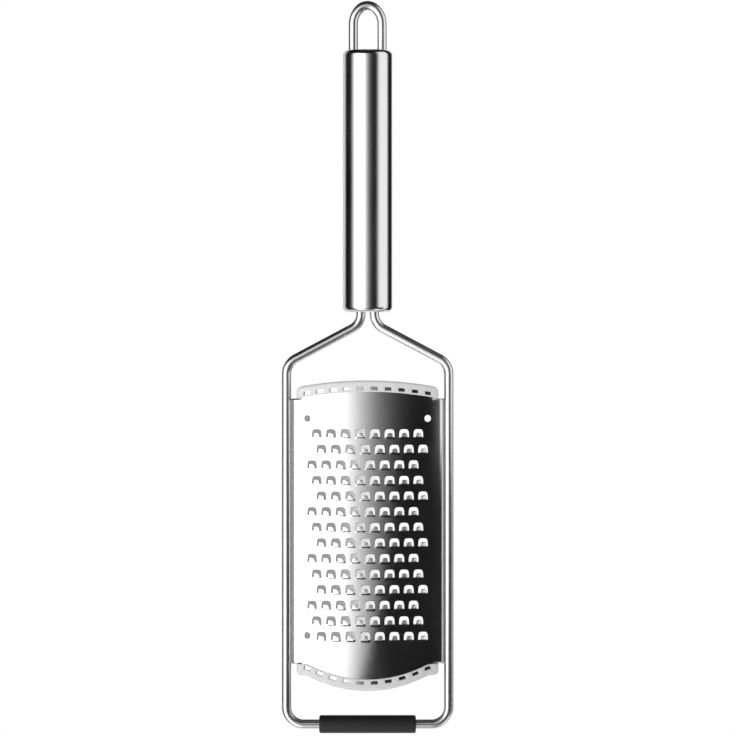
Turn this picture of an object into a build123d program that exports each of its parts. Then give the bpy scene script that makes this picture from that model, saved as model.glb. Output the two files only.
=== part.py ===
from build123d import *

import os
from math import asin, atan2, cos, degrees, radians, sin, sqrt, tan

# Rasp zester: a hand grater with a tubular steel handle, a bent wire frame and an arched, etched blade.
#
# The frame of the model: +X is to the right as the cutting face is looked at, +Y points behind the cutting face
# and +Z runs up the tool towards its hanging loop. The origin is the point inside the loop's crown that a hook
# bears on, so the tool hangs down from it. All sizes are in millimetres.
#
# Each function that has a node's name makes that piece, and each piece is written to its own STEP file.

# Round wire stock that both the frame and the hanging loop are bent from
wire_diameter = 4.2
wire_hole_clearance = 0.05

# Hanging loop: its legs stand inside the handle's rim, and its arch is a tall one
loop_leg_inset = 4.65
loop_height = 21.8
loop_arch_height_share = 1.27
loop_crown_radius_share = 0.8
loop_leg_depth = 9.0

# Handle: a thin tube with a pressed cap welded into each end
handle_diameter = 22.0
handle_length = 116.0
tube_wall = 0.8
cap_shoulder_radius = 2.4
cap_land = 1.3
cap_wall = 0.8
cap_skirt_depth = 4.0
cap_fit_clearance = 0.03

# Wire frame
frame_span = 71.8
frame_drop = 182.3
frame_neck_gap = 1.7
frame_neck_drop = 5.2
frame_shoulder_slope = 28.0
frame_bend_radius = 7.6
frame_leg_depth = 28.0

# Soft foot on the frame's cross bar
foot_wall = 1.88
foot_bend_margin = 6.9
foot_edge_chamfer = 0.7
foot_bore_clearance = 0.02

# Arched blade sheet, its flanges and where it sits in the frame
sheet_thickness = 0.4
arch_radius = 85.0
flange_bend_radius = 2.8
flange_bend_lead = 0.2
flange_depth = 2.2
flange_upper_margin = 10.9
flange_above_bar = 26.9
weld_gap = 0.05

# Bowed ends of the blade, and the moulded guard round each of them
upper_bow = 3.0
lower_bow = 6.7
lower_shoulder_length = 4.6
guard_side_margin = 2.45
guard_width = 5.0
guard_wall = 0.9
guard_clearance = 0.03
guard_grip = 3.4
guard_end_wall = 1.4
guard_corner_radius = 2.2
guard_neck_radius = 4.0

# Windows in the front wall of each guard, where the bare steel shows
window_pitch = 6.3
window_length = 3.0
window_height = 1.5
window_inset = 1.5
window_end_margin = 3.5

# Cutting teeth: an arched hole with a raised tongue rooted at its lower edge
tooth_pitch = 6.53
tooth_row_pitch = 6.94
tooth_side_margin = 9.9
tooth_upper_margin = 15.1
tooth_lower_margin = 11.9
tooth_row_shift_shares = (0, 1 / 3, -1 / 3)
hole_foot_width = 4.6
hole_head_width = 4.2
hole_height = 3.9
hole_corner_chamfer = 1.0
tongue_side_gap = 0.85
tongue_taper = 0.35
tongue_tip_gap = 1.75
tongue_tip_chamfer = 0.6
tongue_slope = 25.5
tongue_root_depth = 0.7
tongue_root_thickness = 0.3
tongue_edge_thickness = 0.12

# Round locating holes near three of the blade's corners
pilot_diameter = 3.0
pilot_side_inset = 7.0
pilot_upper_inset = 8.8
pilot_lower_inset = 12.5

# One overrun serves every cut and trim
overrun = 4.0

# Places and sizes that follow from the ones above
wire_radius = wire_diameter / 2
handle_radius = handle_diameter / 2
cap_height = cap_shoulder_radius + cap_land
rear_face_z = wire_diameter - loop_height
front_face_z = rear_face_z - handle_length
neck_x = (wire_diameter + frame_neck_gap) / 2
side_x = frame_span / 2
neck_z = front_face_z - frame_neck_drop
shoulder_z = neck_z - (side_x - neck_x) * tan(radians(frame_shoulder_slope))
side_top_z = shoulder_z - frame_bend_radius * tan(radians(90 - frame_shoulder_slope) / 2)
bar_z = front_face_z - frame_drop
flange_face_x = side_x - wire_radius - weld_gap
flange_top_z = side_top_z - flange_upper_margin
flange_bottom_z = bar_z + flange_above_bar
bend_centre_x = flange_face_x - flange_bend_radius
arch_axis_y = sqrt((arch_radius - flange_bend_radius) ** 2 - bend_centre_x**2) - flange_bend_lead
arch_rise = arch_radius - arch_axis_y
arch_half_width = arch_radius * asin(bend_centre_x / (arch_radius - flange_bend_radius))
guard_half_width = flange_face_x - guard_side_margin
pocket_half_width = guard_half_width - guard_end_wall
lower_bow_half_width = guard_half_width - lower_shoulder_length


def bent_wire(path):
    """Round stock along a smooth path."""
    return sweep(Plane(origin=path @ 0, z_dir=path % 0) * Circle(wire_radius), path)


def front_region(outline):
    """A front-view outline carried through the blade from well in front of it to well behind it."""
    return extrude(Plane.XZ * outline, amount=arch_rise + overrun, both=True)


def on_arch(across, z):
    """The plane that touches the arch's outer face at an arc length from its crown, facing outwards."""
    turn = across / arch_radius
    return Plane(
        origin=(arch_radius * sin(turn), arch_axis_y - arch_radius * cos(turn), z),
        x_dir=(cos(turn), sin(turn), 0),
        z_dir=(sin(turn), -cos(turn), 0),
    )


def even_places(length, pitch):
    """Places centred on zero that share a length evenly, as near to a pitch as a whole number of steps allows."""
    steps = max(1, round(length / pitch))
    return [(index / steps - 1 / 2) * length for index in range(steps + 1)]


def bow_radius(half_width, bow):
    """The radius of an arc that bows by a given amount over a given half width."""
    return (half_width**2 + bow**2) / (2 * bow)


# Hanging loop: one length of wire bent to a tall arch, its legs passing through the rear cap


def hanging_loop():
    """Two legs, two wide flank arcs and a tighter crown arc, all tangent to each other."""
    half = handle_radius - loop_leg_inset
    arch_height = loop_arch_height_share * half
    crown_radius = loop_crown_radius_share * half
    spring_z = wire_radius - arch_height
    crown_rise = arch_height - crown_radius
    flank_radius = (half**2 + crown_rise**2 - crown_radius**2) / (2 * (half - crown_radius))
    flank_x = half - flank_radius
    turn = degrees(atan2(crown_rise, -flank_x))
    leg_end_z = rear_face_z - loop_leg_depth
    path = Wire(
        [
            Line((half, leg_end_z), (half, spring_z)),
            CenterArc((flank_x, spring_z), flank_radius, 0, turn),
            CenterArc((0, spring_z + crown_rise), crown_radius, turn, 180 - 2 * turn),
            CenterArc((-flank_x, spring_z), flank_radius, 180 - turn, turn),
            Line((-half, spring_z), (-half, leg_end_z)),
        ]
    )
    return bent_wire(Plane.XZ * path)


# Handle: a tube, and the two pressed caps that close it and carry the wires


def handle_tube():
    """Thin-walled tube between the two caps."""
    wall = Circle(handle_radius) - Circle(handle_radius - tube_wall)
    return Pos(0, 0, front_face_z + cap_height) * extrude(wall, amount=handle_length - 2 * cap_height)


def handle_cap(wire_spacing):
    """A pressed cup: a flat face with a rounded shoulder, a skirt that plugs the tube's bore, two wire holes."""
    skirt_radius = handle_radius - tube_wall - cap_fit_clearance
    disc = extrude(Circle(handle_radius), amount=cap_height)
    disc = fillet(disc.edges().group_by(Axis.Z)[-1], cap_shoulder_radius)
    cap = disc + Pos(0, 0, -cap_skirt_depth) * extrude(Circle(skirt_radius), amount=cap_skirt_depth)
    cavity_height = cap_skirt_depth + cap_height - cap_wall
    cap -= Pos(0, 0, -cap_skirt_depth) * extrude(Circle(skirt_radius - cap_wall), amount=cavity_height)
    hole = extrude(Circle(wire_radius + wire_hole_clearance), amount=cap_height + overrun, both=True)
    return cap - [Pos(side * wire_spacing / 2, 0, 0) * hole for side in (-1, 1)]


def handle_rear_cap():
    """The cap that carries the hanging loop."""
    return Pos(0, 0, rear_face_z - cap_height) * handle_cap(handle_diameter - 2 * loop_leg_inset)


def handle_front_cap():
    """The cap that the wire frame's two legs pass through."""
    return Pos(0, 0, front_face_z + cap_height) * Rot(180, 0, 0) * handle_cap(2 * neck_x)


# Wire frame: one length of wire from the handle, round the blade and back to the handle


def wire_frame():
    """Legs inside the handle, sloping shoulders, straight sides and a cross bar, with one radius at each bend."""
    right = [
        (neck_x, front_face_z + frame_leg_depth),
        (neck_x, neck_z),
        (side_x, shoulder_z),
        (side_x, bar_z),
    ]
    left = [(-x, z) for x, z in reversed(right)]
    return bent_wire(Plane.XZ * FilletPolyline(*right, *left, radius=frame_bend_radius))


def foot_sleeve():
    """Rubber tube pushed over the cross bar, its rims bevelled."""
    length = frame_span - 2 * (frame_bend_radius + foot_bend_margin)
    bore_radius = wire_radius + foot_bore_clearance
    half_section = Pos(0, bore_radius + foot_wall / 2) * Rectangle(length, foot_wall)
    rims = half_section.vertices().group_by(Axis.Y)[-1]
    return Pos(0, 0, bar_z) * revolve(chamfer(rims, foot_edge_chamfer), Axis.X)


# Blade: one etched sheet, arched across its width and flanged down each side


def sheet_section():
    """The formed sheet's cross-section: flange, bend, arch, bend, flange."""

    def skin(inset):
        """One face of the sheet, from the right flange's free edge to the left one."""
        bend = flange_bend_radius - inset
        face_x = flange_face_x - inset
        tangent = atan2(arch_axis_y + flange_bend_lead, bend_centre_x)
        bend_points = [
            (bend_centre_x + bend * cos(turn), -flange_bend_lead - bend * sin(turn))
            for turn in (0, tangent / 2, tangent)
        ]
        mirrored = [(-x, y) for x, y in bend_points]
        return [
            Line((face_x, flange_depth), bend_points[0]),
            ThreePointArc(*bend_points),
            ThreePointArc(bend_points[2], (0, inset - arch_rise), mirrored[2]),
            ThreePointArc(*reversed(mirrored)),
            Line(mirrored[0], (-face_x, flange_depth)),
        ]

    outer = skin(0)
    inner = skin(sheet_thickness)
    rims = [Line(outer[0] @ 0, inner[0] @ 0), Line(outer[-1] @ 1, inner[-1] @ 1)]
    return make_face([*outer, *inner, *rims])


def upper_curve(half_width, rise):
    """The upper end's bow, seen from the front, raised above the line where the guard starts."""
    radius = bow_radius(guard_half_width, upper_bow)
    crown_z = flange_top_z + upper_bow + rise
    edge_z = crown_z - radius + sqrt(radius**2 - half_width**2)
    return ThreePointArc((-half_width, edge_z), (0, crown_z), (half_width, edge_z))


def lower_curve(half_width, fall):
    """The lower end's shoulders and bow, seen from the front, lowered below the line where the guard starts."""
    shoulder_line_z = flange_bottom_z - fall
    left = (-lower_bow_half_width, shoulder_line_z)
    right = (lower_bow_half_width, shoulder_line_z)
    return [
        Line((-half_width, shoulder_line_z), left),
        ThreePointArc(left, (0, shoulder_line_z - lower_bow), right),
        Line(right, (half_width, shoulder_line_z)),
    ]


def tab_face(edges, half_width):
    """The outline of an end tab, from its curved edge back to the blade's middle."""
    middle_z = (flange_top_z + flange_bottom_z) / 2
    back = Polyline(edges[-1] @ 1, (half_width, middle_z), (-half_width, middle_z), edges[0] @ 0)
    return make_face([*edges, back])


def tooth_hole():
    """The etched opening: its straight lower edge on y = 0, its flanks leaning in, its upper corners cut."""
    opening = Polyline(
        (-hole_foot_width / 2, 0),
        (hole_foot_width / 2, 0),
        (hole_head_width / 2, hole_height),
        (-hole_head_width / 2, hole_height),
        close=True,
    )
    outline = make_face(opening)
    outline = chamfer(outline.vertices().group_by(Axis.Y)[-1], hole_corner_chamfer)
    return extrude(outline, amount=sheet_thickness + overrun, both=True)


def tooth_tongue():
    """The raised cutting tongue: it leaves the sheet at the hole's lower edge and thins towards its tip."""
    root_half = hole_foot_width / 2 - tongue_side_gap
    tip_half = root_half - tongue_taper
    reach = hole_height - tongue_tip_gap
    plan = make_face(
        Polyline(
            (-root_half, -tongue_root_depth),
            (root_half, -tongue_root_depth),
            (root_half, 0),
            (tip_half, reach),
            (-tip_half, reach),
            (-root_half, 0),
            close=True,
        )
    )
    plan = chamfer(plan.vertices().group_by(Axis.Y)[-1], tongue_tip_chamfer)
    slope = tan(radians(tongue_slope))
    side = Polyline(
        (-tongue_root_depth, 0),
        (reach, (tongue_root_depth + reach) * slope),
        (reach, (tongue_root_depth + reach) * slope - tongue_edge_thickness),
        (0, tongue_root_depth * slope - tongue_root_thickness),
        (-tongue_root_depth, -tongue_root_thickness),
        close=True,
    )
    wedge = extrude(Plane.YZ * make_face(side), amount=hole_foot_width, both=True)
    return extrude(plan, amount=hole_height + overrun, both=True) & wedge


def tooth_places():
    """Where each tooth's root stands: rows from the lowest up, every third row from the top shifted alike."""
    row_span = flange_top_z - tooth_upper_margin - flange_bottom_z - tooth_lower_margin
    middle_z = flange_bottom_z + tooth_lower_margin + (row_span - hole_height) / 2
    columns = even_places(2 * (arch_half_width - tooth_side_margin), tooth_pitch)
    step = columns[1] - columns[0]
    rows = reversed(even_places(row_span, tooth_row_pitch))
    return [
        on_arch(across + tooth_row_shift_shares[number % len(tooth_row_shift_shares)] * step, middle_z + height)
        for number, height in enumerate(rows)
        for across in columns
    ]


def pilot_places():
    """Where the locating holes stand: both upper corners and the lower left one."""
    across = arch_radius * asin((flange_face_x - pilot_side_inset) / arch_radius)
    upper_z = flange_top_z - pilot_upper_inset
    lower_z = flange_bottom_z + pilot_lower_inset
    return [on_arch(-across, upper_z), on_arch(across, upper_z), on_arch(-across, lower_z)]


def grating_blade():
    """The formed sheet trimmed to its outline, pierced, and given its raised tongues."""
    upper_tab = tab_face([upper_curve(pocket_half_width, guard_grip)], pocket_half_width)
    lower_tab = tab_face(lower_curve(pocket_half_width, guard_grip), pocket_half_width)
    middle = Pos(0, (flange_top_z + flange_bottom_z) / 2) * Rectangle(
        2 * flange_face_x + overrun, flange_top_z - flange_bottom_z
    )
    bottom_z = flange_bottom_z - lower_bow - guard_width
    top_z = flange_top_z + upper_bow + guard_width
    sheet = Pos(0, 0, bottom_z) * extrude(sheet_section(), amount=top_z - bottom_z)
    sheet &= front_region(middle + upper_tab + lower_tab)
    hole = tooth_hole()
    tongue = tooth_tongue()
    pilot = extrude(Circle(pilot_diameter / 2), amount=sheet_thickness + overrun, both=True)
    teeth = tooth_places()
    pierced = sheet - [*(place * hole for place in teeth), *(place * pilot for place in pilot_places())]
    return pierced + [place * tongue for place in teeth]


# Guards: clear plastic moulded round each bowed end of the blade, with windows in the front wall


def arch_shell(cover):
    """A shell that follows the arch, reaching a cover beyond each face of the sheet."""
    bottom_z = flange_bottom_z - lower_bow - guard_width - overrun
    height = flange_top_z + upper_bow + guard_width + overrun - bottom_z
    ring = Circle(arch_radius + cover) - Circle(arch_radius - sheet_thickness - cover)
    return Pos(0, arch_axis_y, bottom_z) * extrude(ring, amount=height)


def window(across, z, lean):
    """A cutter that opens the guard's front wall down to the sheet."""
    block = extrude(Rectangle(window_length, window_height), amount=guard_clearance + guard_wall + overrun)
    return on_arch(across, z) * Rot(0, 0, lean) * block


def end_guard(outline, pocket, windows):
    """Both walls and the rim of a guard, hollowed for the sheet and pierced by its windows."""
    guard = arch_shell(guard_clearance + guard_wall) & front_region(outline)
    guard -= arch_shell(guard_clearance) & front_region(pocket)
    return guard - windows


def window_columns():
    return even_places(2 * (arch_half_width - guard_side_margin - window_end_margin), window_pitch)


def upper_end_guard():
    """The guard on the end nearer the handle."""
    inner = upper_curve(guard_half_width, guard_clearance)
    outer = upper_curve(guard_half_width, guard_width)
    outline = make_face([inner, Line(inner @ 1, outer @ 1), outer, Line(outer @ 0, inner @ 0)])
    outline = fillet(outline.vertices().group_by(Axis.Y)[-1], guard_corner_radius)
    half_width = pocket_half_width + guard_clearance
    pocket = tab_face([upper_curve(half_width, guard_grip + guard_clearance)], half_width)
    radius = bow_radius(guard_half_width, upper_bow)
    windows = []
    for across in window_columns():
        x = arch_radius * sin(across / arch_radius)
        z = flange_top_z + upper_bow + window_inset - radius + sqrt(radius**2 - x**2)
        windows.append(window(across, z, -degrees(asin(x / radius))))
    return end_guard(outline, pocket, windows)


def lower_end_guard():
    """The guard on the end nearer the foot, with a flat shoulder on each side of its bow."""
    inner = lower_curve(guard_half_width, guard_clearance)
    outer = lower_curve(guard_half_width, guard_width)
    sides = [Line(inner[0] @ 0, outer[0] @ 0), Line(inner[-1] @ 1, outer[-1] @ 1)]
    outline = make_face([*inner, *outer, *sides])
    necks = [v for v in outline.vertices() if abs(v.X) < guard_half_width - guard_clearance]
    outline = fillet(necks, guard_neck_radius)
    corners = outline.vertices().group_by(Axis.X)
    outline = fillet([side.sort_by(Axis.Y)[0] for side in (corners[0], corners[-1])], guard_corner_radius)
    half_width = pocket_half_width + guard_clearance
    pocket = tab_face(lower_curve(half_width, guard_grip + guard_clearance), half_width)
    radius = bow_radius(lower_bow_half_width, lower_bow)
    windows = []
    for across in window_columns():
        x = arch_radius * sin(across / arch_radius)
        fall = max(0, sqrt(max(0, radius**2 - x**2)) - radius + lower_bow)
        lean = degrees(asin(x / radius)) if fall else 0
        windows.append(window(across, flange_bottom_z - fall - window_inset, lean))
    return end_guard(outline, pocket, windows)


pieces = {
    "hanging_loop": hanging_loop,
    "handle_tube": handle_tube,
    "handle_rear_cap": handle_rear_cap,
    "handle_front_cap": handle_front_cap,
    "wire_frame": wire_frame,
    "foot_sleeve": foot_sleeve,
    "grating_blade": grating_blade,
    "upper_end_guard": upper_end_guard,
    "lower_end_guard": lower_end_guard,
}

os.makedirs("parts", exist_ok=True)
for name, make in pieces.items():
    piece = make()
    export_step(piece, f"parts/{name}.step")
    print(f"{name}: {len(piece.solids())} solid, {piece.volume:.1f} mm3, valid {piece.is_valid}")
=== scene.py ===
import math

import bmesh
import bpy
import numpy as np
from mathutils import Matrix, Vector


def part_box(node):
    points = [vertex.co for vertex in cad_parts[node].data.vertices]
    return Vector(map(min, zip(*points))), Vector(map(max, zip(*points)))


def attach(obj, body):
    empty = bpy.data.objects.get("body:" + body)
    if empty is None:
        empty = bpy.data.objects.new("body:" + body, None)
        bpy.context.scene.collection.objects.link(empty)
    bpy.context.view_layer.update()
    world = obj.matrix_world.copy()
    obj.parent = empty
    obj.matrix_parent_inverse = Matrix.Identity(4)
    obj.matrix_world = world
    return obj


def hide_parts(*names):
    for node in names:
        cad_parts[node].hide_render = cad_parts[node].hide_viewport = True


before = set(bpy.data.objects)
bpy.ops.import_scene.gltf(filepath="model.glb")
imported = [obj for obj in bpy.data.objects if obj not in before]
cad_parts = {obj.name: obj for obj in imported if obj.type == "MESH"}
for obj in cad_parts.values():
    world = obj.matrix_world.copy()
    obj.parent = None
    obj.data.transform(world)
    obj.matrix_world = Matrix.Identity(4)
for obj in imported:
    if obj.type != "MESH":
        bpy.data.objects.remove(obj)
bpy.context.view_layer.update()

# Wire frame: one length of round stainless wire, bent cold at six places and polished bright. Both ends
# stand inside the handle, the blade is welded to its straight sides, and its cross bar carries the foot.

mm = 0.001


def across_run(heading):
    """The directions a quarter turn to the left of headings (x, z): (-z, x)."""
    heading = np.asarray(heading)
    return np.stack([-heading[..., 1], heading[..., 0]], -1)


def rounded_route(corners, radius, step):
    """Places (x, z) on straight runs joined by tangent arcs of one radius, and the heading at each place.
    An arc begins the radius times the tangent of half its turn before its corner. Its centre stands a
    radius to the inner side, and its places are equal steps of angle apart."""
    corners = np.asarray(corners, float)
    runs = np.diff(corners, axis=0)
    runs /= np.linalg.norm(runs, axis=1)[:, None]
    places, headings = [corners[:1]], [runs[:1]]
    for corner, before, after in zip(corners[1:-1], runs, runs[1:]):
        turn = math.atan2(before[0] * after[1] - before[1] * after[0], before @ after)
        inward = math.copysign(radius, turn)
        start = corner - radius * math.tan(abs(turn) / 2) * before
        centre = start + inward * across_run(before)
        swing = np.linspace(0, turn, max(2, round(abs(turn) / step)) + 1)[:, None]
        heading = np.cos(swing) * before + np.sin(swing) * across_run(before)
        places.append(centre - inward * across_run(heading))
        headings.append(heading)
    return np.concatenate([*places, corners[-1:]]), np.concatenate([*headings, runs[-1:]])


def swept_skin(places, headings, radii, sides):
    """Rings of points round a route in the XZ plane, and the same points on the stock before bending. A
    point is its place, less the radius times the cosine of its angle to the left of the heading, plus the
    radius times the sine along +Y. On the straight stock the heading is +Z, at the length run so far."""
    turns = np.arange(sides) * (2 * math.pi / sides)
    outward = radii[:, None] * np.cos(turns)
    behind = radii[:, None] * np.sin(turns)
    left = across_run(headings)
    x = places[:, :1] - outward * left[:, :1]
    z = places[:, 1:] - outward * left[:, 1:]
    run = np.concatenate([[0], np.cumsum(np.linalg.norm(np.diff(places, axis=0), axis=1))])
    stock = np.stack([outward, behind, np.broadcast_to(run[:, None], outward.shape)], -1)
    return np.stack([x, behind, z], -1), stock


def grid_faces(rows, columns, rows_close=False, columns_close=False):
    """Quads of a grid of points numbered row by row. A quad runs along its row first and then to the next
    row, and a direction that closes has a last quad back to its start."""
    row = np.arange(rows if rows_close else rows - 1)[:, None]
    column = np.arange(columns if columns_close else columns - 1)[None, :]
    next_row, next_column = (row + 1) % rows, (column + 1) % columns
    corners = [
        row * columns + column,
        row * columns + next_column,
        next_row * columns + next_column,
        next_row * columns + column,
    ]
    return np.stack(np.broadcast_arrays(*corners), -1).reshape(-1, 4)


merge_distance = 0.002 * mm


def finished_piece(name, points, faces, material, stock=None, crease=35):
    """A mesh object of the given points, its doubles merged so that seams and poles close, shaded smooth up
    to a crease angle in degrees. It replaces the CAD node of its own name and rides on the body."""
    mesh = bpy.data.meshes.new(name)
    mesh.from_pydata(np.reshape(points, (-1, 3)).tolist(), [], np.reshape(faces, (-1, 4)).tolist())
    if stock is not None:
        layer = mesh.attributes.new("stock", "FLOAT_VECTOR", "POINT")
        layer.data.foreach_set("vector", np.reshape(stock, -1).astype(np.float32))
    shell = bmesh.new()
    shell.from_mesh(mesh)
    bmesh.ops.remove_doubles(shell, verts=shell.verts, dist=merge_distance)
    shell.to_mesh(mesh)
    shell.free()
    mesh.shade_smooth()
    mesh.set_sharp_from_angle(angle=math.radians(crease))
    mesh.materials.append(material)
    piece = bpy.data.objects.new(name, mesh)
    bpy.context.scene.collection.objects.link(piece)
    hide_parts(name)
    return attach(piece, "root")


def add_node(tree, kind, inputs=(), **settings):
    """A shader node with its settings. Each of its inputs is joined to a socket or set to a value."""
    made = tree.nodes.new(kind)
    for setting, value in settings.items():
        setattr(made, setting, value)
    for key, value in dict(inputs).items():
        if isinstance(value, bpy.types.NodeSocket):
            tree.links.new(value, made.inputs[key])
        else:
            made.inputs[key].default_value = value
    return made


def ranged(tree, value, low, high, to_low, to_high):
    """A value mapped in proportion from one range to another."""
    inputs = {"Value": value, "From Min": low, "From Max": high, "To Min": to_low, "To Max": to_high}
    return add_node(tree, "ShaderNodeMapRange", inputs).outputs["Result"]


def calc(tree, operation, *values):
    """The result of one arithmetic step on sockets or numbers."""
    return add_node(tree, "ShaderNodeMath", dict(enumerate(values)), operation=operation).outputs[0]


def noise(tree, place, scale, detail):
    """A cloudy field, from 0 to 1 and mostly near 0.5."""
    inputs = {"Vector": place, "Scale": scale, "Detail": detail}
    return add_node(tree, "ShaderNodeTexNoise", inputs).outputs["Fac"]


def blend(tree, factor, low, high):
    """A colour that goes from the low one to the high one as a factor goes from 0 to 1."""
    inputs = {"Factor": factor, "A": low, "B": high}
    return add_node(tree, "ShaderNodeMix", inputs, data_type="RGBA").outputs["Result"]


def new_material(name):
    """A material, its node tree and its Principled shader."""
    material = bpy.data.materials.new(name)
    material.use_nodes = True
    return material, material.node_tree, material.node_tree.nodes["Principled BSDF"]


def dress(tree, skin, colour, roughness, height, depth):
    """Join a shader to a colour and a roughness, and give it relief of a depth that follows a height."""
    relief = add_node(tree, "ShaderNodeBump", {"Height": height, "Distance": depth})
    tree.links.new(colour, skin.inputs["Base Color"])
    tree.links.new(roughness, skin.inputs["Roughness"])
    tree.links.new(relief.outputs["Normal"], skin.inputs["Normal"])


def new_group(name, takes, gives):
    """An empty shader node group with named inputs and outputs, and its two end nodes."""
    tree = bpy.data.node_groups.new(name, "ShaderNodeTree")
    for way, sockets in (("INPUT", takes), ("OUTPUT", gives)):
        for label, kind in sockets.items():
            tree.interface.new_socket(label, in_out=way, socket_type=kind)
    return tree, tree.nodes.new("NodeGroupInput"), tree.nodes.new("NodeGroupOutput")


def finishing_lines():
    """Lines that a belt or a drawing die leaves: noise stretched along one direction, in two finenesses.
    Lines is the fine one with the coarse one mixed in, and Marks is a cloudy field for handling marks."""
    takes = {"Vector": "NodeSocketVector", "Across": "NodeSocketVector", "Cloud": "NodeSocketFloat"}
    gives = {"Lines": "NodeSocketFloat", "Marks": "NodeSocketFloat"}
    tree, start, end = new_group("finishing_lines", takes, gives)
    place = start.outputs["Vector"]
    inputs = {0: place, 1: start.outputs["Across"]}
    stretched = add_node(tree, "ShaderNodeVectorMath", inputs, operation="MULTIPLY").outputs[0]
    fine = noise(tree, stretched, scale=1.0, detail=4.0)
    coarse = noise(tree, stretched, scale=0.23, detail=2.0)
    lines = calc(tree, "ADD", fine, coarse)
    marks = noise(tree, place, scale=start.outputs["Cloud"], detail=3.0)
    tree.links.new(ranged(tree, lines, 0.6, 1.4, 0, 1), end.inputs["Lines"])
    tree.links.new(ranged(tree, marks, 0.35, 0.65, 0, 1), end.inputs["Marks"])
    return tree


lines_group = finishing_lines()
line_stretch = 60
line_shade = 0.93


def steel(name, colour, roughness, spread, fineness, depth, cloud, attribute=None):
    """Stainless steel whose finishing lines run along Z. The lines move its roughness and tint by a small
    spread either side of the middle and stand in its relief, and cloudy marks dull it a little."""
    material, tree, skin = new_material(name)
    if attribute:
        place = add_node(tree, "ShaderNodeAttribute", attribute_name=attribute).outputs["Vector"]
    else:
        place = add_node(tree, "ShaderNodeTexCoord").outputs["Object"]
    inputs = {"Vector": place, "Across": (fineness, fineness, fineness / line_stretch), "Cloud": cloud}
    effect = add_node(tree, "ShaderNodeGroup", inputs, node_tree=lines_group).outputs
    lined = ranged(tree, effect["Lines"], 0, 1, roughness - spread, roughness + spread)
    dulled = ranged(tree, effect["Marks"], 0, 1, 0, spread)
    tint = blend(tree, effect["Lines"], (*(line_shade * part for part in colour), 1), (*colour, 1))
    dress(tree, skin, tint, calc(tree, "ADD", lined, dulled), effect["Lines"], depth)
    skin.inputs["Metallic"].default_value = 1
    return material


polished_wire = steel(
    "polished_wire", (0.72, 0.72, 0.73), roughness=0.27, spread=0.03,
    fineness=2600, depth=0.0006 * mm, cloud=60, attribute="stock",
)
wire_sides = 36
bend_step = math.radians(5)
wire_low, wire_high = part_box("wire_frame")
wire_radius = wire_high.y
front_cap_low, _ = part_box("handle_front_cap")
neck_half_gap = 0.85 * mm
neck_length = 5.2 * mm
shoulder_slope = math.radians(28)
neck_x = wire_radius + neck_half_gap
neck_z = front_cap_low.z - neck_length
side_x = wire_high.x - wire_radius
bar_z = wire_low.z + wire_radius
shoulder_z = neck_z - (side_x - neck_x) * math.tan(shoulder_slope)
frame_bend_radius = 7.6 * mm


def bent_wire(name, places, headings):
    """Round wire along a route, both ends closed flat."""
    places, headings = (np.concatenate([line[:1], line, line[-1:]]) for line in (places, headings))
    radii = np.full(len(places), wire_radius)
    radii[[0, -1]] = 0
    skin, stock = swept_skin(places, headings, radii, wire_sides)
    faces = grid_faces(len(places), wire_sides, columns_close=True)
    return finished_piece(name, skin, faces, polished_wire, stock, crease=60)


right_side = [(neck_x, wire_high.z), (neck_x, neck_z), (side_x, shoulder_z), (side_x, bar_z)]
left_side = [(-x, z) for x, z in reversed(right_side)]
bent_wire("wire_frame", *rounded_route(right_side + left_side, frame_bend_radius, bend_step))

# Grating blade: one sheet of stainless steel, etched through and arched, its flanges welded to the side
# wires. The etching leaves 112 tongues, each rooted at its hole's lower edge, and a press raises them.

etched_steel = steel(
    "etched_blade", (0.68, 0.68, 0.69), roughness=0.14, spread=0.03,
    fineness=1500, depth=0.0008 * mm, cloud=45, attribute="stock",
)
blade_low, blade_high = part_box("grating_blade")
sheet = 0.4 * mm
arch_radius = 85 * mm
flange_bend_radius = 2.8 * mm
flange_bend_lead = 0.2 * mm
guard_grip = 3.4 * mm
upper_bow, lower_bow = 3.0 * mm, 6.7 * mm
flange_top_z = blade_high.z - upper_bow - guard_grip
flange_bottom_z = blade_low.z + lower_bow + guard_grip
bend_x = blade_high.x - flange_bend_radius
edge_turn = math.asin(bend_x / (arch_radius - flange_bend_radius))
arch_axis_y = bend_x / math.tan(edge_turn) - flange_bend_lead
arch_reach = arch_radius * edge_turn
bend_reach = flange_bend_radius * (math.pi / 2 - edge_turn)
flange_reach = blade_high.y + flange_bend_lead


def formed(across, height, lift):
    """Places on the formed sheet's outer face. Across is an arc length from the crown: it runs round the
    arch, then round the flange's bend, then straight back along the flange. Lift stands square to it."""
    reach = np.abs(across)
    turn = np.minimum(reach, arch_reach) / arch_radius
    turn = turn + np.clip(reach - arch_reach, 0, bend_reach) / flange_bend_radius
    beyond = reach > arch_reach
    radius = np.where(beyond, flange_bend_radius, arch_radius) + lift
    x = np.where(beyond, bend_x, 0) + radius * np.sin(turn)
    y = np.where(beyond, -flange_bend_lead, arch_axis_y) - radius * np.cos(turn)
    y = y + np.maximum(reach - arch_reach - bend_reach, 0)
    return np.stack(np.broadcast_arrays(np.copysign(x, across), y, height), -1)


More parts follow.
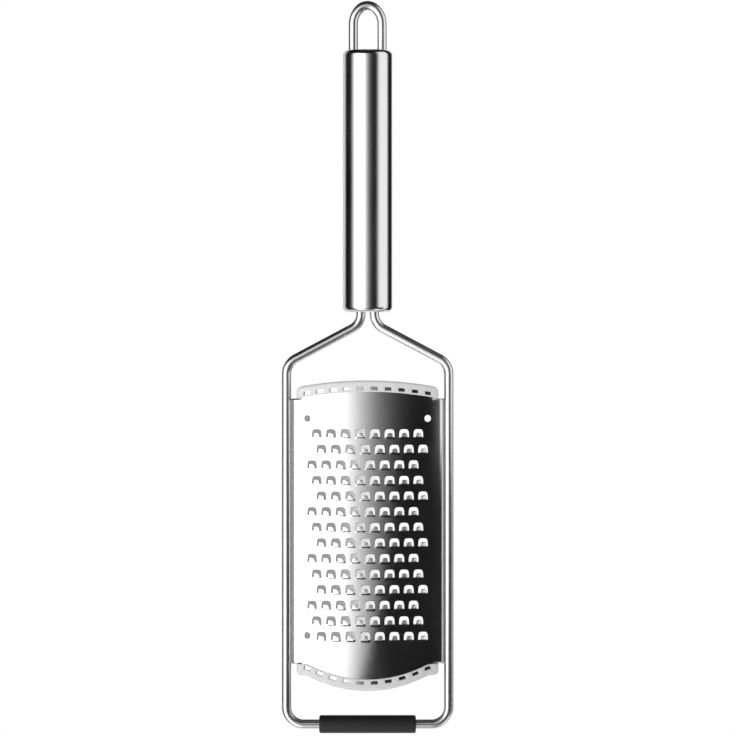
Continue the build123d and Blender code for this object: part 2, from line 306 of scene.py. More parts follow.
tooth_columns, tooth_rows = 8, 14
tooth_side_margin = 10.1 * mm
top_row_margin, bottom_row_margin = 15.1 * mm, 12.6 * mm
tooth_pitch = 2 * (arch_reach - tooth_side_margin) / (tooth_columns - 1)
row_centres = np.linspace(flange_top_z - top_row_margin, flange_bottom_z + bottom_row_margin, tooth_rows)
row_pitch = row_centres[0] - row_centres[1]
steps_across, steps_up = 12, 8
lattice_step = tooth_pitch / steps_across
row_shift = steps_across // 3
row_shifts = np.resize([0, row_shift, -row_shift], tooth_rows)
hole_foot, hole_head, hole_height = 4.45 * mm, 4.3 * mm, 3.45 * mm
head_power = 4
root_drop = 1.9 * mm
tongue_half, tongue_taper = 1.55 * mm, 0.22 * mm
tip_rounding_share = 0.25
tongue_reach = 1.75 * mm
bend_foot, bend_end = -1.0 * mm, 0.4 * mm
tongue_slope = math.tan(math.radians(30))
tongue_crown = 0.12 * mm
tip_thickness_share = 0.35
edge_dip = 0.05 * mm
root_margin = 0.01 * mm


def rectangle_rim(width, height, steps_wide, steps_high):
    """Places round a rectangle centred on zero, anticlockwise in equal steps from the lower left."""
    wide = np.arange(steps_wide) / steps_wide - 0.5
    high = np.arange(steps_high) / steps_high - 0.5
    side, end = np.full(steps_high, 0.5), np.full(steps_wide, 0.5)
    u = np.concatenate([wide, side, -wide, -side]) * width
    v = np.concatenate([-end, high, end, -high]) * height
    return u, v


def rise(v):
    """How far a tongue stands off the sheet at a height above its root: nothing below the bend, a parabola
    through the bend, and a straight slope from there."""
    through = np.clip(v - bend_foot, 0, bend_end - bend_foot)
    return tongue_slope * (through**2 / (2 * (bend_end - bend_foot)) + np.maximum(v - bend_end, 0))


def eased(share):
    """A share that starts and ends gently: its square, times three less twice itself."""
    return share**2 * (3 - 2 * share)


def tooth_surround():
    """Rings from a lattice cell's rim in to the hole's outline, as (across, height, lift) from the tooth's
    root. The outline is straight along the root. Round the head it is a superellipse that narrows with
    height. The sheet swells at the root by the tongue's rise, faded to nothing over the hole's corners, and
    its last ring dips where the acid rounds the edge."""
    root_line = np.linspace(-tongue_half, tongue_half, 9)
    corner = (hole_foot / 2 + tongue_half) / 2
    foot_u = np.concatenate([[-hole_foot / 2, -corner], root_line, [corner]])
    turn = np.linspace(0, math.pi, 2 * steps_up + steps_across + 1)[:-1]
    head_u = np.copysign(np.abs(np.cos(turn)) ** (2 / head_power), np.cos(turn)) * hole_foot / 2
    head_v = np.sin(turn) ** (2 / head_power) * hole_height
    head_u *= 1 - (1 - hole_head / hole_foot) * head_v / hole_height
    hole_u, hole_v = np.concatenate([foot_u, head_u]), np.concatenate([0 * foot_u, head_v])
    rim_u, rim_v = rectangle_rim(tooth_pitch, row_pitch, steps_across, steps_up)
    share = np.array([0, 0.35, 0.65, 0.85, 0.96, 1])[:, None]
    u = rim_u + share * (hole_u - rim_u)
    v = rim_v + root_drop + share * (hole_v - rim_v - root_drop)
    fade = np.clip((hole_foot / 2 - np.abs(u)) / (hole_foot / 2 - tongue_half), 0, 1)
    on_root = (np.abs(u) < tongue_half + root_margin) & (v < root_margin)
    swell = np.where(v < root_margin, rise(np.minimum(v, 0)), 0) * eased(fade)
    return u, v, swell - np.where((share == 1) & ~on_root, edge_dip, 0)


def tooth_tongue():
    """A tongue as (across, height, lift) from its root. Its width tapers, its tip line falls back towards
    its corners by a share of the fourth power of the share across, and a parabola that grows towards the
    tip crowns it."""
    share = np.linspace(-1, 1, 9)
    up = np.linspace(0, 1, 8)[:, None]
    u = share * (tongue_half - tongue_taper * up)
    v = up * tongue_reach * (1 - tip_rounding_share * share**4)
    crown = tongue_crown * up * (1 - share**2)
    return u, v, rise(v) + crown


def placed_teeth(pattern):
    """A pattern set down at every tooth: columns a pitch apart, each row moved by its own lattice steps."""
    u, v, lift = pattern
    column_places = (np.arange(tooth_columns) - (tooth_columns - 1) / 2) * tooth_pitch
    across = (column_places + row_shifts[:, None] * lattice_step)[..., None, None] + u
    roots = np.repeat(row_centres - root_drop, tooth_columns).reshape(tooth_rows, tooth_columns)
    height = roots[..., None, None] + v
    return across, height, np.broadcast_to(lift, across.shape)


class SheetPatches:
    """Patches of the flat sheet, gathered as places (across, height, lift) and quads."""

    def __init__(self):
        self.places, self.faces, self.count = [], [], 0

    def add(self, across, height, lift, faces):
        places = np.stack(np.broadcast_arrays(across, height, lift), -1).reshape(-1, 3)
        self.places.append(places)
        self.faces.append(faces + self.count)
        self.count += len(places)

    def add_plain(self, across_lines, height_lines):
        """A plain patch on crossing lines. Height lines may differ from one across line to the next."""
        height = height_lines if height_lines.ndim == 2 else height_lines[:, None]
        self.add(across_lines[None, :], height, 0, grid_faces(len(height), len(across_lines)))

    def add_pilot(self, cell_across, cell_low, cell_high, pilot_z):
        """A lattice cell round a locating hole: rings run in from its rim to a circle."""
        cell_width = pilot_cell_steps * lattice_step
        rim_u, rim_v = rectangle_rim(cell_width, cell_high - cell_low, pilot_cell_steps, steps_up)
        rim_v = rim_v + (cell_low + cell_high) / 2 - pilot_z
        distance = np.hypot(rim_u, rim_v)
        share = np.array([0, 0.4, 0.75, 0.97, 1])[:, None]
        inward = 1 - share * (1 - pilot_radius / distance)
        dip = np.where(share == 1, edge_dip, 0)
        faces = grid_faces(len(share), len(rim_u), columns_close=True)
        self.add(cell_across + rim_u * inward, pilot_z + rim_v * inward, -dip, faces)


pilot_radius = 1.5 * mm
pilot_step = 50
pilot_cell_steps = 10
pilot_inner = pilot_step - pilot_cell_steps // 2
pilot_outer = pilot_step + pilot_cell_steps // 2
upper_pilot_drop, lower_pilot_rise = 8.8 * mm, 12.5 * mm
upper_pilot_z = flange_top_z - upper_pilot_drop
lower_pilot_z = flange_bottom_z + lower_pilot_rise
last_step = int(arch_reach / lattice_step - 0.5)
flange_lines = np.concatenate([
    arch_reach + np.linspace(0, bend_reach, 9),
    arch_reach + bend_reach + np.linspace(0, flange_reach, 4)[1:],
])


def lattice(first, last):
    """The across lines from one lattice step to another. Past the last step they go on over the flange."""
    lines = np.arange(max(first, -last_step), min(last, last_step) + 1) * lattice_step
    left = -flange_lines[::-1] if first < -last_step else []
    right = flange_lines if last > last_step else []
    return np.concatenate([left, lines, right])


def upper_edge(x):
    """How far the upper end bows above its corners: an arc through the guard's corners."""
    radius = (guard_half_width**2 + upper_bow**2) / (2 * upper_bow)
    return np.sqrt(radius**2 - x**2) - radius + upper_bow


def lower_edge(x):
    """How far the lower end bows below its shoulders: an arc over the middle, nothing over the shoulders,
    and a smooth maximum of the two where they meet."""
    radius = (lower_bow_half_width**2 + lower_bow**2) / (2 * lower_bow)
    arc = np.sqrt(radius**2 - x**2) - radius + lower_bow
    return (arc + np.sqrt(arc**2 + knee_softness**2)) / 2


guard_half_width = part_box("upper_end_guard")[1].x
lower_shoulder = 4.6 * mm
lower_bow_half_width = guard_half_width - lower_shoulder
knee_softness = 0.5 * mm
tab_reach = 29.75 * mm
tab_step = round(tab_reach / lattice_step)
beyond = last_step + 1
flat_sheet = SheetPatches()
teeth = tooth_rows * tooth_columns
for pattern, is_ring in ((tooth_surround(), True), (tooth_tongue(), False)):
    rows, columns = pattern[0].shape
    quads = grid_faces(rows, columns, columns_close=is_ring)
    quads = quads + np.arange(teeth)[:, None, None] * rows * columns
    flat_sheet.add(*placed_teeth(pattern), quads.reshape(-1, 4))
half_grid = steps_across * tooth_columns // 2
for number, centre in enumerate(row_centres):
    lines = centre + np.linspace(-0.5, 0.5, steps_up + 1) * row_pitch
    left, right = row_shifts[number] - half_grid, row_shifts[number] + half_grid
    if number == tooth_rows - 1:
        flat_sheet.add_plain(lattice(-beyond, -pilot_outer), lines)
        flat_sheet.add_pilot(-pilot_step * lattice_step, lines[0], lines[-1], lower_pilot_z)
        flat_sheet.add_plain(lattice(-pilot_inner, left), lines)
    else:
        flat_sheet.add_plain(lattice(-beyond, left), lines)
    flat_sheet.add_plain(lattice(right, beyond), lines)
teeth_top = row_centres[0] + row_pitch / 2
teeth_bottom = row_centres[-1] - row_pitch / 2
pilots_top = 2 * upper_pilot_z - teeth_top
pilot_lines = np.linspace(teeth_top, pilots_top, steps_up + 1)
for first, last in ((-beyond, -pilot_outer), (-pilot_inner, pilot_inner), (pilot_outer, beyond)):
    flat_sheet.add_plain(lattice(first, last), pilot_lines)
for side in (-1, 1):
    flat_sheet.add_pilot(side * pilot_step * lattice_step, teeth_top, pilots_top, upper_pilot_z)
flat_sheet.add_plain(lattice(-beyond, beyond), np.linspace(pilots_top, flange_top_z, 7))
flat_sheet.add_plain(lattice(-beyond, beyond), np.linspace(flange_bottom_z, teeth_bottom, 10))
tab_lines = lattice(-tab_step, tab_step)
tab_x = arch_radius * np.sin(tab_lines / arch_radius)
tab_share = np.linspace(0, 1, 9)[:, None]
flat_sheet.add_plain(tab_lines, flange_top_z + tab_share * (upper_edge(tab_x) + guard_grip))
flat_sheet.add_plain(tab_lines, flange_bottom_z - tab_share[::-1] * (lower_edge(tab_x) + guard_grip))


def grating_blade():
    """The blade's outer face, thickened inwards by the sheet. A tongue thins with the square of its lift
    above its root, as a share of its tip's lift."""
    flat_places = np.concatenate(flat_sheet.places)
    faces = np.concatenate(flat_sheet.faces)
    blade = finished_piece("grating_blade", formed(*flat_places.T), faces, etched_steel, flat_places)
    stock = np.zeros(3 * len(blade.data.vertices), np.float32)
    blade.data.attributes["stock"].data.foreach_get("vector", stock)
    root_lift, tip_lift = rise(0.0), rise(tongue_reach)
    raised = np.clip((stock[2::3] - root_lift) / (tip_lift - root_lift), 0, 1)
    shares = np.round(1 - (1 - tip_thickness_share) * raised**2, 1)
    group = blade.vertex_groups.new(name="thickness")
    for share in np.unique(shares):
        group.add(np.flatnonzero(shares == share).tolist(), float(share), "REPLACE")
    wall = blade.modifiers.new("sheet", "SOLIDIFY")
    wall.thickness = sheet
    wall.offset = -1
    wall.vertex_group = group.name
    return blade


grating_blade()

# End guards: clear plastic channels moulded round the blade's two bowed ends, so that the hand meets no
# edge. Each grips the sheet on both faces, and small windows in its front wall show the steel beneath.

guard_width = 5.0 * mm
guard_half_depth = 1.13 * mm
guard_wall = 0.85 * mm
guard_corner = 2.2 * mm
guard_gap = 0.03 * mm
lower_lean_end = 26 * mm
lean_fade_share = 0.3
window_length, window_height, window_inset = 3.0 * mm, 1.5 * mm, 1.5 * mm
window_pitch_wanted = 6.3 * mm
window_end_margin = 5.95 * mm
guard_reach = arch_radius * math.asin(guard_half_width / arch_radius)
window_reach = arch_reach - window_end_margin
windows = round(2 * window_reach / window_pitch_wanted) + 1
window_places = np.linspace(-window_reach, window_reach, windows)


def clear_plastic():
    """Milky clear plastic: smooth, with a faint cloudiness and the slight unevenness that moulding leaves.
    Seen edge on, its colour is painted darker: a painted shade along the guards' rims."""
    material, tree, skin = new_material("clear_guard")
    place = add_node(tree, "ShaderNodeTexCoord").outputs["Object"]
    ripple = noise(tree, place, scale=900.0, detail=2.0)
    cloud = noise(tree, place, scale=240.0, detail=3.0)
    milky = blend(tree, cloud, (0.76, 0.77, 0.77, 1), (0.88, 0.88, 0.88, 1))
    # Painted shade: the colour turns to dark grey where the surface is seen edge on.
    facing = add_node(tree, "ShaderNodeLayerWeight", {"Blend": 0.5}).outputs["Facing"]
    edge_on_painted_shade = ranged(tree, facing, 0.35, 0.95, 0.0, 0.85)
    tint = blend(tree, edge_on_painted_shade, milky, (0.30, 0.31, 0.31, 1))
    dress(tree, skin, tint, ranged(tree, ripple, 0.3, 0.7, 0.2, 0.34), ripple, 0.01 * mm)
    skin.inputs["Alpha"].default_value = 0.86
    skin.inputs["IOR"].default_value = 1.49
    return material


clear_guard = clear_plastic()


def guard_columns():
    """Across lines of a guard: five over each window, three between two windows, and more at the ends, where
    the last lie on a quarter circle's sines and so close up."""
    gap = window_places[1] - window_places[0] - window_length
    window_lines = window_places[:, None] + np.linspace(-0.5, 0.5, 5) * window_length
    gap_lines = window_places[:-1, None] + window_length / 2 + gap * np.array([0.25, 0.5, 0.75])
    turn = np.linspace(0, math.pi / 2, 7)
    rim_start = guard_reach - guard_half_depth
    end_lines = rim_start + guard_half_depth * np.sin(turn)
    bridge = np.linspace(window_places[-1] + window_length / 2, rim_start, 5)[1:-1]
    ends = np.concatenate([bridge, end_lines])
    return np.sort(np.concatenate([window_lines.ravel(), gap_lines.ravel(), ends, -ends]))


def end_guard(name, straight_z, outward, edge, lean_end):
    """A channel with a half-round rim. A column starts on the blade's bowed edge and leans square to the
    bow, the lean fading out towards the ends. Its places rise from the edge to a rounded-corner outline.
    Half the depth at a place is a quarter circle of its distance in from that outline, so the front and the
    back meet there. A window is where the front wall's faces are left out."""
    columns = guard_columns()
    window_low = window_inset - window_height / 2
    turn = np.linspace(0, math.pi / 2, 7)
    rim_start = guard_width - guard_half_depth
    rises = np.concatenate([
        np.linspace(guard_gap, window_low, 3),
        window_low + np.linspace(0, window_height, 4)[1:],
        np.linspace(window_low + window_height, rim_start, 4)[1:-1],
        rim_start + guard_half_depth * np.sin(turn),
    ])[:, None]
    window_rows = slice(2, 5)
    past_corner = np.clip(np.abs(columns) - (guard_reach - guard_corner), 0, guard_corner)
    tallest = guard_width - guard_corner + np.sqrt(guard_corner**2 - past_corner**2)
    rises = rises * tallest / guard_width
    probe = 0.1 * mm
    after, before = (edge(arch_radius * np.sin((columns + way * probe) / arch_radius)) for way in (1, -1))
    slope = (after - before) / (2 * probe)
    fade = np.clip((lean_end - np.abs(columns)) / (lean_fade_share * lean_end), 0, 1)
    lean = -np.sin(2 * np.arctan(slope)) / 2 * eased(fade)
    across = columns + rises * lean
    x = arch_radius * np.sin(across / arch_radius)
    height = straight_z + outward * (edge(x) + rises)
    corner_over = np.maximum(rises - (guard_width - guard_corner), 0)
    corner_past = np.maximum(np.abs(across) - (guard_reach - guard_corner), 0)
    in_corner = (corner_over > 0) & (corner_past > 0)
    to_sides = np.minimum(guard_width - rises, guard_reach - np.abs(across))
    inset = np.where(in_corner, guard_corner - np.hypot(corner_over, corner_past), to_sides)
    inset = np.clip(inset, 0, guard_half_depth) / guard_half_depth
    depth = guard_half_depth * np.sqrt(1 - (1 - inset) ** 2)
    depth[:, [0, -1]] = 0
    depth[-1] = 0
    front = formed(across, height, depth - sheet / 2)
    back = formed(across, height, -depth - sheet / 2)[-2::-1]
    skin = np.concatenate([front, back])
    faces = grid_faces(len(skin), len(columns)).reshape(len(skin) - 1, len(columns) - 1, 4)
    middle = (columns[1:] + columns[:-1]) / 2
    over_window = np.abs(middle[:, None] - window_places).min(axis=1) < window_length / 2
    kept = np.ones(faces.shape[:2], bool)
    kept[window_rows, over_window] = False
    faces = faces[kept]
    guard = finished_piece(name, skin, faces if outward > 0 else faces[:, ::-1], clear_guard, crease=50)
    wall = guard.modifiers.new("wall", "SOLIDIFY")
    wall.thickness = guard_wall
    wall.offset = -1
    return guard


end_guard("upper_end_guard", flange_top_z, 1, upper_edge, guard_reach)
end_guard("lower_end_guard", flange_bottom_z, -1, lower_edge, lower_lean_end)

# Foot sleeve: a length of soft black rubber tube pushed over the frame's cross bar, so that it grips a
# worktop. It is cut from extruded tube, and its rims are rounded.


def foot_rubber():
    """Matt black rubber with a fine grain and a faint grey bloom."""
    material, tree, skin = new_material("foot_rubber")
    place = add_node(tree, "ShaderNodeTexCoord").outputs["Object"]
    grain = noise(tree, place, scale=3200.0, detail=4.0)
    bloom = noise(tree, place, scale=130.0, detail=3.0)
    tint = blend(tree, bloom, (0.005, 0.005, 0.0055, 1), (0.012, 0.012, 0.0125, 1))
    dress(tree, skin, tint, ranged(tree, grain, 0.3, 0.7, 0.48, 0.62), grain, 0.02 * mm)
    return material


def quarter_round(radius, steps):
    """A quarter circle's places, as how far out and how far down they are: the radius times the sine, and
    the radius times one less the cosine."""
    turn = np.linspace(0, math.pi / 2, steps + 1)
    return radius * np.sin(turn), radius * (1 - np.cos(turn))


def revolved_piece(name, along, radii, heading, material, closed=False):
    """A profile turned round a straight axis in the XZ plane. Where the heading is upright, a place along
    the axis is a z on the handle's axis. Otherwise it is an x on the cross bar's."""
    along = np.asarray(along, float)
    across = np.full(len(along), bar_z) if heading[0] else 0 * along
    axis = np.stack([along, across] if heading[0] else [across, along], -1)
    headings = np.broadcast_to(np.array(heading, float), axis.shape)
    skin, _ = swept_skin(axis, headings, np.asarray(radii, float), turned_sides)
    faces = grid_faces(len(skin), turned_sides, rows_close=closed, columns_close=True)
    return finished_piece(name, skin, faces, material)


turned_sides = 96
foot_low, foot_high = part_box("foot_sleeve")
foot_radius = foot_high.y
foot_clearance = 0.02 * mm
foot_rounding = 0.9 * mm
foot_bore = wire_radius + foot_clearance
rim_out, rim_in = quarter_round(foot_rounding, 8)
foot_left_end = foot_radius - foot_rounding + rim_out
foot_along = np.concatenate([[foot_low.x], foot_low.x + rim_in, foot_high.x - rim_in[::-1], [foot_high.x]])
foot_radii = np.concatenate([[foot_bore], foot_left_end, foot_left_end[::-1], [foot_bore]])
revolved_piece("foot_sleeve", foot_along, foot_radii, (1, 0), foot_rubber(), closed=True)

# Handle: a thin stainless tube with a fine satin finish along its length.
# A pressed cap with a rounded shoulder is welded into each end and ground flush with the tube.

satin_handle = steel(
    "satin_handle", (0.68, 0.68, 0.69), roughness=0.17, spread=0.04,
    fineness=1800, depth=0.0010 * mm, cloud=30,
)
tube_low, tube_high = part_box("handle_tube")
handle_radius = tube_high.x
tube_wall = 0.8 * mm
seam_bevel = 0.03 * mm
skirt_clearance = 0.03 * mm
skirt_depth = 4 * mm
cap_rounding = 2.4 * mm
revolved_piece(
    "handle_tube",
    [tube_low.z, tube_low.z + seam_bevel, tube_high.z - seam_bevel, tube_high.z, tube_high.z, tube_low.z],
    handle_radius - np.array([seam_bevel, 0, 0, seam_bevel, tube_wall, tube_wall]),
    (0, 1), satin_handle, closed=True,
)


def handle_cap(name, face_z, seam_z):
    """A pressed cap: from the pole of its flat face over its shoulder to the seam, then its skirt and its
    hollow."""
    outward = math.copysign(1, face_z - seam_z)
    shoulder_out, shoulder_down = quarter_round(cap_rounding, 12)
    skirt_radius = handle_radius - tube_wall - skirt_clearance
    down = np.concatenate([
        [0], shoulder_down,
        abs(face_z - seam_z) + np.array([-seam_bevel, 0, 0, skirt_depth, skirt_depth]),
        [tube_wall, tube_wall],
    ])
    radii = np.concatenate([
        [0], handle_radius - cap_rounding + shoulder_out,
        [handle_radius, handle_radius - seam_bevel, skirt_radius, skirt_radius, skirt_radius - tube_wall],
        [skirt_radius - tube_wall, 0],
    ])
    return revolved_piece(name, face_z - outward * down, radii, (0, -outward), satin_handle)


_, rear_cap_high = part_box("handle_rear_cap")
handle_cap("handle_rear_cap", rear_cap_high.z, tube_high.z)
handle_cap("handle_front_cap", front_cap_low.z, tube_low.z)

# Hanging loop: a U of the same wire as the frame, bent to a tall arch of three arcs.
# Its two legs pass through the rear cap and are welded behind it.

loop_low, loop_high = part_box("hanging_loop")
loop_half = loop_high.x - wire_radius
arch_height = 1.27 * loop_half
crown_radius = 0.8 * loop_half
spring_z = loop_high.z - wire_radius - arch_height
crown_rise = arch_height - crown_radius
flank_radius = (loop_half**2 + crown_rise**2 - crown_radius**2) / (2 * (loop_half - crown_radius))
flank_turn = math.atan2(crown_rise, flank_radius - loop_half)


def arc(centre_x, centre_z, radius, start, end):
    """Places anticlockwise on an arc, and their headings, at steps of about the wire's bend step."""
    turn = np.linspace(start, end, max(2, round((end - start) / bend_step)) + 1)
    places = np.stack([centre_x + radius * np.cos(turn), centre_z + radius * np.sin(turn)], -1)
    return places, np.stack([-np.sin(turn), np.cos(turn)], -1)


loop_runs = [
    ([(loop_half, loop_low.z)], [(0, 1)]),
    arc(loop_half - flank_radius, spring_z, flank_radius, 0, flank_turn),
    arc(0, spring_z + crown_rise, crown_radius, flank_turn, math.pi - flank_turn),
    arc(flank_radius - loop_half, spring_z, flank_radius, math.pi - flank_turn, math.pi),
    ([(-loop_half, loop_low.z)], [(0, -1)]),
]
bent_wire("hanging_loop", *(np.concatenate(line) for line in zip(*loop_runs)))

# Floor: a pale board below and behind the hanging tool, under the photograph's view, that keeps its
# shadow.

floor_radius = 0.32
floor_drop = 0.1
floor_back = 0.36
floor_lift = 0.8
floor_sides = 96


def stage_piece(name, points, faces, material, unseen_by=()):
    """A mesh that is there for the picture only and isn't a piece of the tool. It shows to no ray of the
    kinds named."""
    mesh = bpy.data.meshes.new(name)
    mesh.from_pydata(points, [], faces)
    mesh.materials.append(material)
    stand_in = bpy.data.objects.new(name, mesh)
    bpy.context.scene.collection.objects.link(stand_in)
    for ray in unseen_by:
        setattr(stand_in, f"visible_{ray}", False)


def pale_floor():
    """A disc of plain pale board. What the camera and reflections see of it is lifted to white, less its
    shadow."""
    turns = np.arange(floor_sides) * (2 * math.pi / floor_sides)
    rim = np.stack([np.cos(turns), np.sin(turns), 0 * turns], -1) * floor_radius
    rim = rim + [0, floor_back, foot_low.z - floor_drop]
    material, tree, skin = new_material("pale_floor")
    place = add_node(tree, "ShaderNodeTexCoord").outputs["Object"]
    grain = noise(tree, place, scale=40.0, detail=4.0)
    tint = blend(tree, grain, (0.84, 0.84, 0.84, 1), (0.88, 0.88, 0.88, 1))
    tree.links.new(tint, skin.inputs["Base Color"])
    skin.inputs["Roughness"].default_value = 0.9
    path = add_node(tree, "ShaderNodeLightPath").outputs
    seen = calc(tree, "MAXIMUM", path["Is Camera Ray"], path["Is Glossy Ray"])
    seen = calc(tree, "MAXIMUM", seen, path["Is Transmission Ray"])
    skin.inputs["Emission Color"].default_value = (1, 1, 1, 1)
    tree.links.new(calc(tree, "MULTIPLY", seen, floor_lift), skin.inputs["Emission Strength"])
    stage_piece("floor", rim.tolist(), [list(range(floor_sides))], material)


pale_floor()

# Backing paper: a pale sheet held in the blade's hollow that glows with a painted shadow. No lamp lights it:
# its glow steps from grey at the left to white at the right, in place of the blade's shadow on a surface
# behind it, so the holes show it grey at the left and white at the right. Only the camera's rays meet it,
# and only its front.

paper_side_inset = 1.5 * mm
paper_low_inset, paper_high_inset = 5 * mm, 6 * mm
paper_y = 1.2 * mm
# Painted shadow: the edge and the dim level of the backing paper's glow, which stands in for the blade's
# shade.
painted_shadow_edge = (-16 * mm, 10 * mm)
painted_shadow_level, paper_bright = 0.32, 1.0


def soft_step(tree, value, edge, low=0.0, high=1.0):
    """A smooth step from the low level to the high one between an edge's two ends."""
    inputs = {"Value": value, "From Min": edge[0], "From Max": edge[1], "To Min": low, "To Max": high}
    return add_node(tree, "ShaderNodeMapRange", inputs, interpolation_type="SMOOTHSTEP").outputs["Result"]


def painted_shadow_paper():
    """A plain rectangle within the toothed part of the blade, its glow a soft step of its place across: a
    painted shadow, dim grey at the left and white at the right.
    """
    half = guard_half_width - paper_side_inset
    low, high = flange_bottom_z + paper_low_inset, flange_top_z - paper_high_inset
    corners = [(-half, paper_y, low), (half, paper_y, low), (half, paper_y, high), (-half, paper_y, high)]
    material, tree, skin = new_material("painted_shadow_paper")
    tree.nodes.remove(skin)
    place = add_node(tree, "ShaderNodeTexCoord").outputs["Object"]
    across = add_node(tree, "ShaderNodeSeparateXYZ", {"Vector": place}).outputs["X"]
    # Painted shadow: the glow steps from a dim grey at the left to white at the right.
    shade = soft_step(tree, across, painted_shadow_edge, painted_shadow_level, paper_bright)
    glow = add_node(tree, "ShaderNodeEmission", {"Strength": shade}).outputs["Emission"]
    clear = add_node(tree, "ShaderNodeBsdfTransparent").outputs["BSDF"]
    behind = add_node(tree, "ShaderNodeNewGeometry").outputs["Backfacing"]
    paper = add_node(tree, "ShaderNodeMixShader", {0: behind, 1: glow, 2: clear}).outputs["Shader"]
    tree.links.new(paper, tree.nodes["Material Output"].inputs["Surface"])
    hidden_from = ("diffuse", "glossy", "transmission", "shadow")
    stage_piece("painted_shadow_paper", corners, [(0, 1, 2, 3)], material, hidden_from)


painted_shadow_paper()

# Flag: a black card in front of the tool at the lower right, its upper left corner cut off. It hides the
# softboxes from the lower right of the steel, which is why the blade turns nearly black there.

flag_distance = 250 * mm
flag_outline = [(-260, -420), (250, -420), (250, -200), (107, -200), (15, -290)]
flag_wing_end = -20 * mm


def black_flag():
    """A flat face, and a wing folded back from its right side, met only by the rays that the pieces send
    out."""
    corners = [(x * mm, -flag_distance, z * mm) for x, z in flag_outline]
    wing = [(corner[0], flag_wing_end, corner[2]) for corner in corners[1:3]]
    material, _, skin = new_material("black_flag")
    skin.inputs["Base Color"].default_value = (0.01, 0.01, 0.01, 1)
    skin.inputs["Roughness"].default_value = 0.9
    faces = [(0, 1, 2, 3, 4), (1, 5, 6, 2)]
    stage_piece("black_flag", corners + wing, faces, material, ("camera", "transmission", "shadow"))


black_flag()

# Studio: a white sheet behind the tool, a tall key softbox at the left, a weaker one at the right, and
# black cards between them. Steel is seen by what it mirrors, so these make its bright and dark bands.
# An edge is the two angles, in degrees, between which a panel fades in or out.

key_left_edge, key_top_edge = (-86.0, -40.0), (14.0, 34.0)
key_level = 2.0
key_left_extra, key_left_part_edge = 1.2, (-50.0, -22.0)
key_fall_start, key_fall_width, key_fall_power = -20.0, 17.0, 1.6
side_left_edge, side_right_edge, side_top_edge = (40.0, 61.0), (98.0, 114.0), (34.0, 56.0)
side_level = 1.25
softbox_foot_edge = (-80.0, -55.0)
backdrop_side_edge, backdrop_top_edge = (158.0, 172.0), (18.0, 40.0)
wall_left_edge, wall_right_edge = (-132.0, -118.0), (144.0, 160.0)
wall_level = 0.85
below_top_edge, below_level = (-64.0, -38.0), 0.24
above_foot_edge, above_level = (55.0, 80.0), 0.02
card_level = 0.005
fill_place, fill_size, fill_watts = (0.35, -1.0, 0.35), 0.8, 3.0


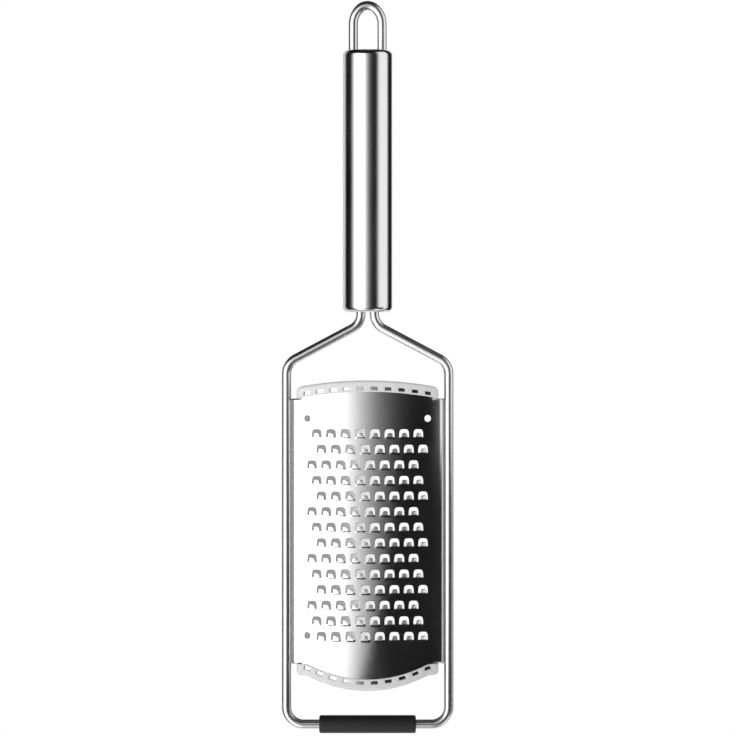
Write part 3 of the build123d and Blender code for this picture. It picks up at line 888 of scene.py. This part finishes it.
def studio():
    """The world. Bearing is the angle of a direction round Z from the camera's side, growing to the right,
    and pitch is its angle above the horizon. A panel is its level times a soft step at each edge. The key
    also falls away past a bearing, as e to the power of less a power of the distance past it in widths."""
    world = bpy.data.worlds.new("studio")
    bpy.context.scene.world = world
    world.use_nodes = True
    tree = world.node_tree

    def joined(operation, first, *others):
        for other in others:
            first = calc(tree, operation, first, other)
        return first

    def rising(angle, edge):
        return soft_step(tree, angle, edge)

    def falling(angle, edge):
        return soft_step(tree, angle, edge, 1.0, 0.0)

    direction = add_node(tree, "ShaderNodeTexCoord").outputs["Generated"]
    parts = add_node(tree, "ShaderNodeSeparateXYZ", {"Vector": direction}).outputs
    toward = joined("MULTIPLY", parts["Y"], -1.0)
    bearing = calc(tree, "DEGREES", calc(tree, "ARCTAN2", parts["X"], toward))
    pitch = calc(tree, "DEGREES", calc(tree, "ARCSINE", parts["Z"]))
    past_key = joined("MAXIMUM", joined("SUBTRACT", bearing, key_fall_start), 0.0)
    past_key = joined("POWER", joined("DIVIDE", past_key, key_fall_width), key_fall_power)
    key_fall = calc(tree, "EXPONENT", joined("MULTIPLY", past_key, -1.0))
    key_left_part = joined("MULTIPLY", falling(bearing, key_left_part_edge), key_left_extra)
    key = joined(
        "MULTIPLY", joined("ADD", key_left_part, key_level), key_fall, rising(bearing, key_left_edge),
        falling(pitch, key_top_edge), rising(pitch, softbox_foot_edge),
    )
    side = joined(
        "MULTIPLY", rising(bearing, side_left_edge), falling(bearing, side_right_edge),
        falling(pitch, side_top_edge), rising(pitch, softbox_foot_edge), side_level,
    )
    low_rays = falling(pitch, backdrop_top_edge)
    backdrop = rising(calc(tree, "ABSOLUTE", bearing), backdrop_side_edge)
    backdrop = joined("MULTIPLY", backdrop, low_rays)
    walls = joined("MAXIMUM", falling(bearing, wall_left_edge), rising(bearing, wall_right_edge))
    walls = joined("MULTIPLY", walls, low_rays, wall_level)
    below = joined("MULTIPLY", falling(pitch, below_top_edge), below_level)
    above = joined("MULTIPLY", rising(pitch, above_foot_edge), above_level)
    cards = joined("ADD", joined("MAXIMUM", below, above, walls), card_level)
    level = joined("ADD", key, side, joined("MAXIMUM", cards, backdrop))
    path = add_node(tree, "ShaderNodeLightPath").outputs
    mirrored = joined("MULTIPLY", path["Is Glossy Ray"], backdrop)
    seen = joined("MAXIMUM", path["Is Camera Ray"], path["Is Transmission Ray"], mirrored)
    shown = add_node(tree, "ShaderNodeMix", {"Factor": seen, "A": level, "B": 1.0}, data_type="FLOAT")
    tree.links.new(shown.outputs["Result"], tree.nodes["Background"].inputs["Strength"])
    tree.nodes["Background"].inputs["Color"].default_value = (1, 1, 1, 1)


def fill_lamp():
    """A square softbox lamp aimed at the middle of the tool, for the plastic and rubber. It shows in no
    mirror."""
    light = bpy.data.lights.new("fill", "AREA")
    light.size = fill_size
    light.energy = fill_watts
    holder = bpy.data.objects.new("fill", light)
    bpy.context.scene.collection.objects.link(holder)
    holder.location = fill_place
    toward = (wire_low + loop_high) / 2 - holder.location
    holder.rotation_euler = toward.to_track_quat("-Z", "Y").to_euler()
    holder.visible_glossy = False


studio()
fill_lamp()

# Camera: level and square to the blade, far enough off for the photograph's nearly parallel view.
# The photograph's width is measured at the tool.

photo_width = 325.75 * mm
photo_middle_x, photo_middle_z = 0.2 * mm, -158.3 * mm
camera_data = bpy.data.cameras.new("camera")
camera_data.lens = 300
camera_data.sensor_width = 36
camera_data.clip_end = 20
camera_distance = photo_width * camera_data.lens / camera_data.sensor_width
camera = bpy.data.objects.new("camera", camera_data)
bpy.context.scene.collection.objects.link(camera)
camera.location = (photo_middle_x, -camera_distance, photo_middle_z)
camera.rotation_euler = (math.pi / 2, 0, 0)
bpy.context.scene.camera = camera
bpy.context.scene.view_settings.view_transform = "Standard"
